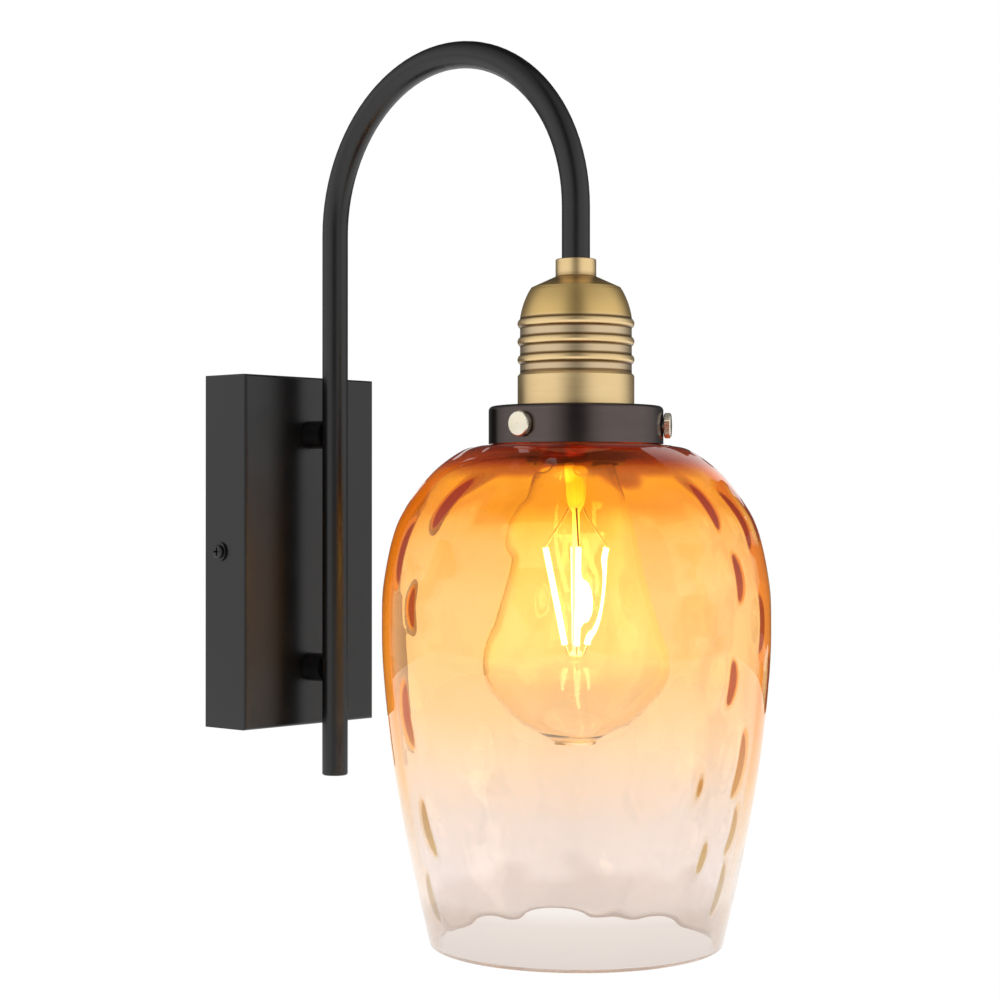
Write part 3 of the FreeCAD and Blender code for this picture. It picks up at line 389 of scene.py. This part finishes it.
def turned_metal(name, dark, light, rough, line_depth, coat=0.0, bare=1.0):
    """The start of a metal that was turned about an upright axis, so its lines run round."""
    metal = Finish(name)
    lines = metal.noise(size=0.25, stretch=(90.0, 90.0, 1.0), detail=1.0)
    cloud = metal.noise(size=16.0, stretch=(1.0, 1.0, 0.7), detail=4.0)
    colour = metal.blend(metal.patchy(lines * 0.5 + cloud * 0.5), dark, light)
    sockets = {"Metallic": bare, "Coat Weight": coat, "Coat Roughness": 0.12,
               "Roughness": metal.patchy(cloud, rough - 0.02, rough + 0.03),
               "Normal": metal.bump(lines, depth=line_depth, strength=0.4)}
    return metal, colour, sockets


brass, rubbed, sockets = turned_metal(
    "antique brushed brass", (0.91, 0.66, 0.33), (0.98, 0.73, 0.38), 0.31, 0.003, bare=0.9)
bell = brass.bands([BELL_Z], solid=6.0, soft=8.0)
groove = brass.bands(GROOVE_ZS, solid=1.0, soft=1.7)
cone = brass.bands([COLLAR_FOOT_Z], solid=0.4, soft=2.8)
crease = brass.bands(CREASES, solid=0.2, soft=0.75)
golden = brass.blend(bell * TINTED, rubbed, BELL_COLOUR)
duller = brass.blend(groove * TINTED, golden, GROOVE_COLOUR)
browned = brass.blend(cone.at_least(crease * CREASE_OVER_CONE) * BROWNED_CONE, duller, BROWN)
FINISHES["antique_brass"] = brass.shade({**sockets, "Base Color": browned})

# %% [markdown]
# The shade's ring has a thin warm lacquer over turned metal, nearly black with a brown cast.
# Paint alone would look like the canopy's, so it is a dark metal under a clear coat. The brass parts that
# nobody sees are plain machined brass.

# %% Ring and machined brass
lacquer, bronze, sockets = turned_metal(
    "bronze black lacquer", (0.105, 0.082, 0.077), (0.128, 0.101, 0.096), 0.20, 0.002, coat=0.15)
FINISHES["bronze_black"] = lacquer.shade({**sockets, "Base Color": bronze})
machined, yellow, sockets = turned_metal(
    "plain machined brass", (0.60, 0.42, 0.17), (0.80, 0.60, 0.30), 0.22, 0.010)
FINISHES["plain_brass"] = machined.shade({**sockets, "Base Color": yellow})


# %% [markdown]
# Small bright metal parts: zinc, nickel, tin and the polished knobs.
# Each could have its own recipe, but plated and polished metals differ only in colour, cloudiness and
# gloss, so one recipe makes all four.


# %% Bright metals
def bright_metal(name, dark, light, rough, grain):
    """A plated or polished metal, a little cloudy."""
    metal = Finish(name)
    cloud = metal.noise(size=3.5, detail=4.0)
    fine = metal.noise(size=0.25, detail=1.0)
    colour = metal.blend(metal.spread(cloud, 0.3, 0.75), dark, light)
    gloss = metal.patchy(cloud, rough, rough + 0.08)
    return metal.shade({"Base Color": colour, "Metallic": 1.0, "Roughness": gloss,
                        "Normal": metal.bump(fine, depth=grain, strength=0.4)})


FINISHES["zinc_steel"] = bright_metal(
    "bright zinc plating", (0.50, 0.51, 0.52), (0.68, 0.69, 0.68), 0.28, 0.004)
FINISHES["nickel"] = bright_metal("nickel plating", (0.62, 0.60, 0.56), (0.80, 0.78, 0.74), 0.18, 0.003)
FINISHES["tin"] = bright_metal("tinned metal", (0.60, 0.61, 0.62), (0.80, 0.80, 0.80), 0.32, 0.006)
FINISHES["polished_brass"] = bright_metal(
    "polished brass", (0.96, 0.86, 0.66), (1.0, 0.94, 0.80), 0.24, 0.002)


# %% [markdown]
# Moulded and fired parts: the holder's black barrel, the white ceramic, the connector, the circuit board,
# the leads and the bulb's glass-black insulator.
# They are plain on the real object too, so what they need is a slight mottling and the right gloss.


# %% Moulded and fired parts
MOULD_GRAIN = 0.01


def moulded(name, dark, light, rough, coat=0.0):
    """A plain moulded or fired part, slightly mottled."""
    body = Finish(name)
    cloud = body.noise(size=5.0, detail=4.0)
    fine = body.noise(size=0.3, detail=1.0)
    return body.shade({"Base Color": body.blend(body.patchy(cloud), dark, light),
                       "Roughness": body.patchy(cloud, rough, rough + 0.06),
                       "Coat Weight": coat, "Coat Roughness": 0.05,
                       "Normal": body.bump(fine, depth=MOULD_GRAIN, strength=0.3)})


FINISHES["black_phenolic"] = moulded("black moulded resin", (0.012, 0.011, 0.010), (0.024, 0.021, 0.019), 0.2)
FINISHES["glazed_ceramic"] = moulded(
    "glazed white ceramic", (0.74, 0.72, 0.67), (0.84, 0.82, 0.78), 0.25, coat=0.6)
FINISHES["white_nylon"] = moulded("white moulded nylon", (0.70, 0.70, 0.68), (0.80, 0.80, 0.77), 0.45)
FINISHES["black_glass"] = moulded("black fused glass", (0.006, 0.006, 0.006), (0.014, 0.013, 0.013), 0.08)
FINISHES["circuit"] = moulded("driver board", (0.60, 0.56, 0.42), (0.72, 0.68, 0.55), 0.5)
FINISHES["brown_pvc"] = moulded("brown insulation", (0.15, 0.065, 0.03), (0.22, 0.10, 0.045), 0.38)
FINISHES["blue_pvc"] = moulded("blue insulation", (0.035, 0.12, 0.42), (0.06, 0.18, 0.52), 0.38)


# %% [markdown]
# The earth lead is green with a yellow stripe that winds round it.
# A painted stripe would need the lead's own coordinates, so the stripe comes from slanted bands in space,
# which look the same on so thin a lead.

# %% Earth lead
STRIPE_SCALE = 90.0

earth = Finish("green and yellow insulation")
waves = earth.node("ShaderNodeTexWave", {"bands_direction": "DIAGONAL"},
                   {"Vector": earth.place, "Scale": STRIPE_SCALE}, output="Fac")
stripe = earth.spread(waves, 0.55, 0.68)
FINISHES["green_pvc"] = earth.shade({
    "Base Color": earth.blend(stripe, (0.03, 0.26, 0.05), (0.75, 0.62, 0.04)),
    "Roughness": earth.patchy(earth.noise(size=3.0), 0.34, 0.44)})

# %% [markdown]
# The bulb is clear glass with four bright filaments, whose light fills it with yellow.
# A lamp inside would light the room through eight glass surfaces, which renders as noise. The filaments
# are bright surfaces instead, and the glass glows with their light: the stem in their midst strongly, the
# thin envelope faintly and only at their height.

# %% Bulb glass and filaments
# Pairs of heights, or of radii, in millimetres, between which the glow sets in or dies away.
GLOW_FOOT = (-50, -30)
GLOW_TOP = (4, 34)
STEM_RADII = (4, 9)
STEM_GLOW = 0.25
BULB_IOR = 1.45
FILAMENT_GLOW = 8.0

bulb = Finish("clear bulb glass")
level = bulb.height()
above_foot = bulb.spread(level, *(z * MM for z in GLOW_FOOT))
above_top = bulb.spread(level, *(z * MM for z in GLOW_TOP))
at_filaments = above_foot * (1.0 - above_top)
from_axis = bulb.node("ShaderNodeVectorMath", {"operation": "SUBTRACT"},
                      {0: bulb.place, 1: (0.0, HEAD_Y * MM, 0.0)})
flat = bulb.node("ShaderNodeVectorMath", {"operation": "MULTIPLY"}, {0: from_axis, 1: (1.0, 1.0, 0.0)})
radius = bulb.node("ShaderNodeVectorMath", {"operation": "LENGTH"}, {0: flat}, output="Value")
in_the_midst = 1.0 - bulb.spread(radius, *(r * MM for r in STEM_RADII))
faint = bulb.blend(at_filaments, (0.0, 0.0, 0.0), (0.085, 0.072, 0.016))
# Seen edge-on the clear glass turns amber: a painted reflection of the amber shade round the bulb.
edge_on_for_painted_reflection = bulb.node("ShaderNodeLayerWeight", None, {"Blend": 0.5}, output="Facing")
clear = bulb.blend(bulb.noise(size=9.0), (0.975, 0.955, 0.90), (0.99, 0.98, 0.94))
warm = bulb.blend(at_filaments, (1.0, 0.62, 0.08), (1.7, 1.3, 0.5))
FINISHES["clear_glass"] = bulb.shade({
    "Base Color": bulb.blend(bulb.spread(edge_on_for_painted_reflection, 0.3, 0.9), clear, (0.95, 0.74, 0.42)),
    "Roughness": bulb.patchy(bulb.noise(size=12.0), 0.0, 0.02),
    "IOR": BULB_IOR, "Transmission Weight": 1.0,
    "Emission Color": bulb.blend(in_the_midst * (STEM_GLOW + at_filaments * (1 - STEM_GLOW)), faint, warm),
    "Emission Strength": 1.0})

stick = Finish("lit filament")
grain = stick.noise(size=0.8, stretch=(1.0, 1.0, 0.5), detail=2.0)
FINISHES["phosphor"] = stick.shade({
    "Base Color": stick.blend(grain, (0.95, 0.62, 0.16), (1.0, 0.74, 0.28)),
    "Roughness": stick.patchy(grain, 0.5, 0.6),
    "Emission Color": stick.blend(grain, (1.0, 0.80, 0.46), (1.0, 0.88, 0.60)),
    "Emission Strength": FILAMENT_GLOW})

# %% [markdown]
# The shade's glass is amber at the top and fades to clear, because coloured glass was gathered at the neck
# and stretched thin as the bulb of glass was blown.
# An image could hold the fade. A ramp on the height does it with no image. The same ramp paints shade: a
# dark line on the cut rim and a dark red band at the neck, where the ring's dark inside is seen through the
# shoulder. Just above the rim the glass is greyer. A second ramp paints the warm light that the lit bulb
# leaves in the glass. Two more are for light that meets the inside so flat that it stays in the wall. On the
# real shade it comes out again far away, deep orange after its long way and dark red out of the dimples. To
# follow it there would cost a great many bounces, so it passes on here and takes that colour at once.

# %% Amber glass
GLASS_IOR = 1.5
PRESSED = "pressed"
# Heights in millimetres, and the colour of the glass there. In the two ramps for light in the wall it is the
# square of the colour that is wanted, because the shader lets the root of its base colour through.
# In this ramp the stops from 31 mm up are painted shade, the dark red of the ring's dark inside seen through
# the shoulder, and the lowest stops paint a dark line of shade on the cut rim.
AMBER_FADE_AND_PAINTED_SHADE = [
    (-139.5, (0.40, 0.33, 0.29)), (-138.7, (0.40, 0.33, 0.29)), (-138.3, (0.73, 0.65, 0.60)),
    (-124.0, (0.77, 0.68, 0.63)), (-118.0, (0.87, 0.81, 0.78)), (-110.0, (0.86, 0.79, 0.76)),
    (-98.0, (0.88, 0.79, 0.74)), (-86.0, (0.88, 0.78, 0.70)), (-76.0, (0.94, 0.79, 0.66)),
    (-66.0, (0.98, 0.79, 0.59)), (-54.0, (0.99, 0.745, 0.50)), (-38.0, (0.99, 0.735, 0.43)),
    (-12.0, (0.99, 0.715, 0.365)), (5.0, (0.98, 0.66, 0.27)), (13.0, (0.95, 0.60, 0.15)),
    (18.0, (0.90, 0.49, 0.05)), (30.2, (0.95, 0.56, 0.02)), (32.2, (0.55, 0.14, 0.007)),
    (33.6, (0.34, 0.045, 0.004)), (51.6, (0.30, 0.03, 0.005)),
]
IN_THE_WALL = [
    (-139.5, (0.81, 0.7396, 0.6889)), (-104.0, (0.81, 0.6724, 0.49)), (-80.0, (0.81, 0.4356, 0.1156)),
    (-56.0, (0.8464, 0.25, 0.0144)), (0.0, (0.81, 0.1444, 0.0016)), (26.0, (0.7396, 0.1024, 0.0004)),
    (36.0, (0.0625, 0.0004, 0)), (51.6, (0.0144, 0.0001, 0)),
]
IN_THE_DIMPLES = [
    (-139.5, (0.40, 0.32, 0.24)), (-104.0, (0.40, 0.24, 0.05)), (-80.0, (0.36, 0.12, 0.004)),
    (-56.0, (0.2116, 0.0144, 0.0001)), (0.0, (0.1156, 0.002, 0.0)), (26.0, (0.1156, 0.0016, 0.0)),
    (36.0, (0.0196, 0.0001, 0.0)), (51.6, (0.0144, 0.0001, 0.0)),
]
LAMPLIGHT = [
    (-139.5, (0.004, 0.004, 0.004)), (-112.0, (0.028, 0.024, 0.022)), (-80.0, (0.026, 0.018, 0.012)),
    (-50.0, (0.030, 0.014, 0.004)), (0.0, (0.034, 0.010, 0.001)), (30.0, (0.034, 0.006, 0.0005)),
    (51.6, (0.020, 0.003, 0.0003)),
]

amber = Finish("dimpled amber glass")
streak = amber.patchy(amber.noise(size=60.0, stretch=(1.0, 1.0, 0.4), detail=2.0))
blown = amber.node("ShaderNodeBsdfPrincipled", None, {
    "Base Color": amber.blend(streak * 0.06, amber.by_height(AMBER_FADE_AND_PAINTED_SHADE), (1.0, 0.93, 0.80)),
    "Roughness": amber.patchy(amber.noise(size=25.0), 0.0, 0.02),
    "IOR": GLASS_IOR, "Transmission Weight": 1.0,
    "Emission Color": amber.by_height(LAMPLIGHT), "Emission Strength": 1.0})
pressed = amber.node("ShaderNodeAttribute", {"attribute_name": PRESSED}, output="Fac")
long_way = amber.blend(amber.spread(pressed, 0.05, 0.3), amber.by_height(IN_THE_WALL),
                       amber.by_height(IN_THE_DIMPLES))
guided = amber.node("ShaderNodeBsdfPrincipled", None, {
    "Base Color": long_way, "Roughness": 0.0, "IOR": 1.0, "Transmission Weight": 1.0})
grazing = amber.spread(amber.node("ShaderNodeFresnel", None, {"IOR": GLASS_IOR}, output="Fac"), 0.05, 0.8)
caught = grazing * amber.node("ShaderNodeNewGeometry", output="Backfacing")
FINISHES["amber_glass"] = amber.end(amber.node("ShaderNodeMixShader", None, {0: caught, 1: blown, 2: guided}))

# %% [markdown]
# Now every node of the CAD model gets the finish of its slot in the record.
# It could be done by name, piece by piece, but the record already says which piece is made of what.

# %% Finishes on the pieces
slot_of = {part["node"]: part["material_slot"] for part in frame["record"]["subparts"]}
for name, piece in frame["nodes"].items():
    for material_slot in piece.material_slots:
        material_slot.material = FINISHES[slot_of[name]]
print("finishes:", len(FINISHES), "on", len(frame["nodes"]), "nodes")


# %% [markdown]
# A blown shade is a body of revolution, so it is made by turning its section about the head's axis.
# A curve with the Screw modifier would turn it too. Here the rows are made in code, because the inside
# isn't round: it has dimples, and their depth depends on the height and on the way round.


# %% Lines and arcs of a section
def smooth_line(points, steps):
    """Points on a smooth curve through all the given ones."""
    points = [Vector(point) for point in points]
    padded = [2 * points[0] - points[1], *points, 2 * points[-1] - points[-2]]
    line = []
    for before, start, end, after in zip(padded, padded[1:], padded[2:], padded[3:]):
        for step in range(steps):
            t = step / steps
            line.append(0.5 * (2 * start + (end - before) * t
                               + (2 * before - 5 * start + 4 * end - after) * t ** 2
                               + (3 * start - before - 3 * end + after) * t ** 3))
    line.append(points[-1])
    return line


def arc(centre, radius, start, end, steps):
    """Points on an arc, its angles in degrees."""
    turn = [math.radians(start + (end - start) * step / steps) for step in range(steps + 1)]
    return [Vector((centre[0] + radius * math.cos(a), centre[1] + radius * math.sin(a))) for a in turn]


# %% Section of the shade
GLASS_WALL = 3.0
NECK_R = 27.2
NECK_BEND_R = 2.7
SHOULDER_HIGH = 39.9
NECK_ZS = (48.8, 46.0)
LIP_R = 1.2
# Radius and height, in millimetres.
LIP_AT = (27.8, 50.4)
LIP_INSIDE = [(NECK_R - GLASS_WALL, 50.3), (24.6, 51.3), (25.6, 51.6)]
ROWS_A_SPAN = 11
RIM_ROWS = 11
# Radius and height of points of the outside, from the shoulder down to the rim.
SHADE_OUTSIDE = [(34.5, 39.6), (41.2, 37.8), (51.0, 30.6), (59.9, 19.7), (65.4, 8.8), (69.2, -9.2),
                 (69.9, -23.6), (69.3, -41.8), (66.3, -70.5), (62.1, -95.8), (57.6, -117.6), (52.9, -138.35)]

bend = arc((NECK_R + NECK_BEND_R, SHOULDER_HIGH + NECK_BEND_R), NECK_BEND_R, start=180, end=270, steps=8)
outside = [*(Vector((NECK_R, z)) for z in NECK_ZS), *bend, *smooth_line(SHADE_OUTSIDE, ROWS_A_SPAN)]


def inward(line, index):
    """The way from a point of the outside into the glass."""
    along = line[min(index + 1, len(line) - 1)] - line[max(index - 1, 0)]
    return Vector((along.y, -along.x)).normalized()


inside = [point + GLASS_WALL * inward(outside, index) for index, point in enumerate(outside)]
way_down = (outside[-1] - outside[-2]).normalized()
rim_centre = (outside[-1] + inside[-1]) / 2
half_wall = GLASS_WALL / 2
across = (outside[-1] - rim_centre).normalized()
turns = [math.pi * row / (RIM_ROWS + 1) for row in range(1, RIM_ROWS + 1)]
rim = [rim_centre + half_wall * (across * math.cos(a) + way_down * math.sin(a)) for a in turns]
lip = [*(Vector(place) for place in LIP_INSIDE), *arc(LIP_AT, LIP_R, start=90, end=-120, steps=10)]
print("the section has", len(outside), "rows a side")

# %% [markdown]
# The dimples are pressed into the glass while it is soft, and no two are alike.
# A bump map would shade them but not bend what is seen through them, so they are real hollows here, on the
# inside. Those on the side of the camera are set where the photograph shows them: some as dark ovals near
# the edge, some only by how they bend the bulb. The back has level rows of shallower ones, the shallowest
# where the canopy is seen through them.

# %% Dimples
SEEN_DIMPLES = [
    # bearing from the camera in degrees, height, half width, half height, lean in degrees, depth
    (-42, 17, 10, 15, 42, 1.9), (-63, 1, 8, 14, 8, 1.2), (-52, -17, 8, 11, 0, 1.1), (-25, 11, 12, 12, 0, 1.3),
    (-57, -54, 9, 15, -8, 1.3), (-53, -93, 8, 14, -12, 1.2), (-30, -80, 9, 11, 0, 0.7),
    (-24, -98, 9, 12, 0, 0.5), (-36, -112, 15, 14, 0, 0.5), (-60, -118, 8, 12, -8, 0.9),
    (17, 18, 11, 12, 0, 0.9), (9, -14, 10, 14, 0, 1.0), (-30, -36, 13, 17, 5, 0.8),
    (31, -38, 13, 17, -5, 0.6), (4, -60, 12, 14, 0, 0.8), (-5, 32, 10, 7, 0, 2.2), (-1, -88, 9, 15, 0, 0.7),
    (-8, -113, 14, 13, 0, 0.8), (15, -108, 12, 12, 0, 0.4), (22, -90, 9, 12, 0, 0.6),
    (45, 16, 8, 12, -18, 1.5), (63, 12, 8, 13, -22, 1.3), (52, -7, 8, 12, -4, 1.3), (67, -23, 8, 13, 0, 1.2),
    (48, -42, 8, 12, 8, 1.5), (36, -76, 9, 13, 10, 1.5), (57, -71, 8, 15, 10, 1.3),
    (42, -101, 8, 12, 12, 1.2), (59, -94, 7, 11, 12, 1.1), (57, -114, 7, 13, 10, 1.0),
    (34, -113, 15, 13, 0, 0.45),
]
# The height of each row and the bearing of its first dimple.
BACK_ROWS = [(17, 80), (-15, 91), (-47, 82), (-79, 93), (-111, 84)]
BACK_STEP = 21
BACK_END = 282
BACK_HALF_WIDTH = 9
BACK_HALF_HEIGHT = 14
BACK_SHIFT = 3
BACK_LEAN = 12
BACK_DEPTH = 0.6
BESIDE_CANOPY = 240
SHALLOW = 0.2
REACH = 1.2


def all_dimples():
    """The dimples that the photograph shows, and rows of others round the back, uneven by two sines."""
    made = list(SEEN_DIMPLES)
    for height, first in BACK_ROWS:
        for bearing in range(first, BACK_END, BACK_STEP):
            unrest = math.sin(0.7 * bearing + height)
            depth = BACK_DEPTH if bearing < BESIDE_CANOPY else SHALLOW
            lift = math.cos(1.3 * bearing)
            made.append((bearing + BACK_SHIFT * unrest, height + BACK_SHIFT * lift,
                         BACK_HALF_WIDTH + unrest, BACK_HALF_HEIGHT - unrest, BACK_LEAN * unrest, depth))
    return made


def hollow(bearing, level, radius, dimples):
    """How deep the inside is at a place, in millimetres. Only dimples within reach of it count."""
    squares = 0.0
    for centre, height, half_width, half_height, lean, depth in dimples:
        up = level - height
        turn = (bearing - centre + 180.0) % 360.0 - 180.0
        side = math.radians(turn) * radius
        if max(abs(up), abs(side)) > REACH * half_height:
            continue
        slant = math.radians(lean)
        u = (side * math.cos(slant) - up * math.sin(slant)) / half_width
        v = (side * math.sin(slant) + up * math.cos(slant)) / half_height
        squares += (depth * max(0.0, 1.0 - u * u - v * v) ** 2) ** 2
    return math.sqrt(squares)


# %% Turn the shade
COLUMNS = 320


def turn_shade(name, slot):
    """The shade as one closed mesh, dimpled on its inside, with the depths kept for the glass."""
    dimples = all_dimples()
    section = [(point, False) for point in (*lip, *outside[1:], *rim)]
    section += [(point, True) for point in inside[:0:-1]]
    points = []
    depths = []
    for point, dimpled in section:
        for column in range(COLUMNS):
            bearing = 360.0 * column / COLUMNS
            depths.append(hollow(bearing, point.y, point.x, dimples) if dimpled else 0.0)
            radius = point.x + depths[-1]
            angle = TO_CAMERA + math.radians(bearing)
            points.append((radius * math.cos(angle) * MM, (HEAD_Y + radius * math.sin(angle)) * MM,
                           point.y * MM))
    rows = len(section)
    faces = []
    for row in range(rows):
        under = (row + 1) % rows
        for column in range(COLUMNS):
            beside = (column + 1) % COLUMNS
            faces.append((row * COLUMNS + column, under * COLUMNS + column,
                          under * COLUMNS + beside, row * COLUMNS + beside))
    mesh = bpy.data.meshes.new(name)
    mesh.from_pydata(points, [], faces)
    for face in mesh.polygons:
        face.use_smooth = True
    mesh.materials.append(FINISHES[slot])
    mesh.attributes.new(PRESSED, "FLOAT", "POINT").data.foreach_set("value", depths)
    mesh.update()
    shade = bpy.data.objects.new(name, mesh)
    bpy.context.scene.collection.objects.link(shade)
    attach(shade, "lamp")
    print(name, "has", len(faces), "faces and", len(dimples), "dimples")
    return shade


shade = turn_shade("blown_shade", "amber_glass")
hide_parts("glass_shade")
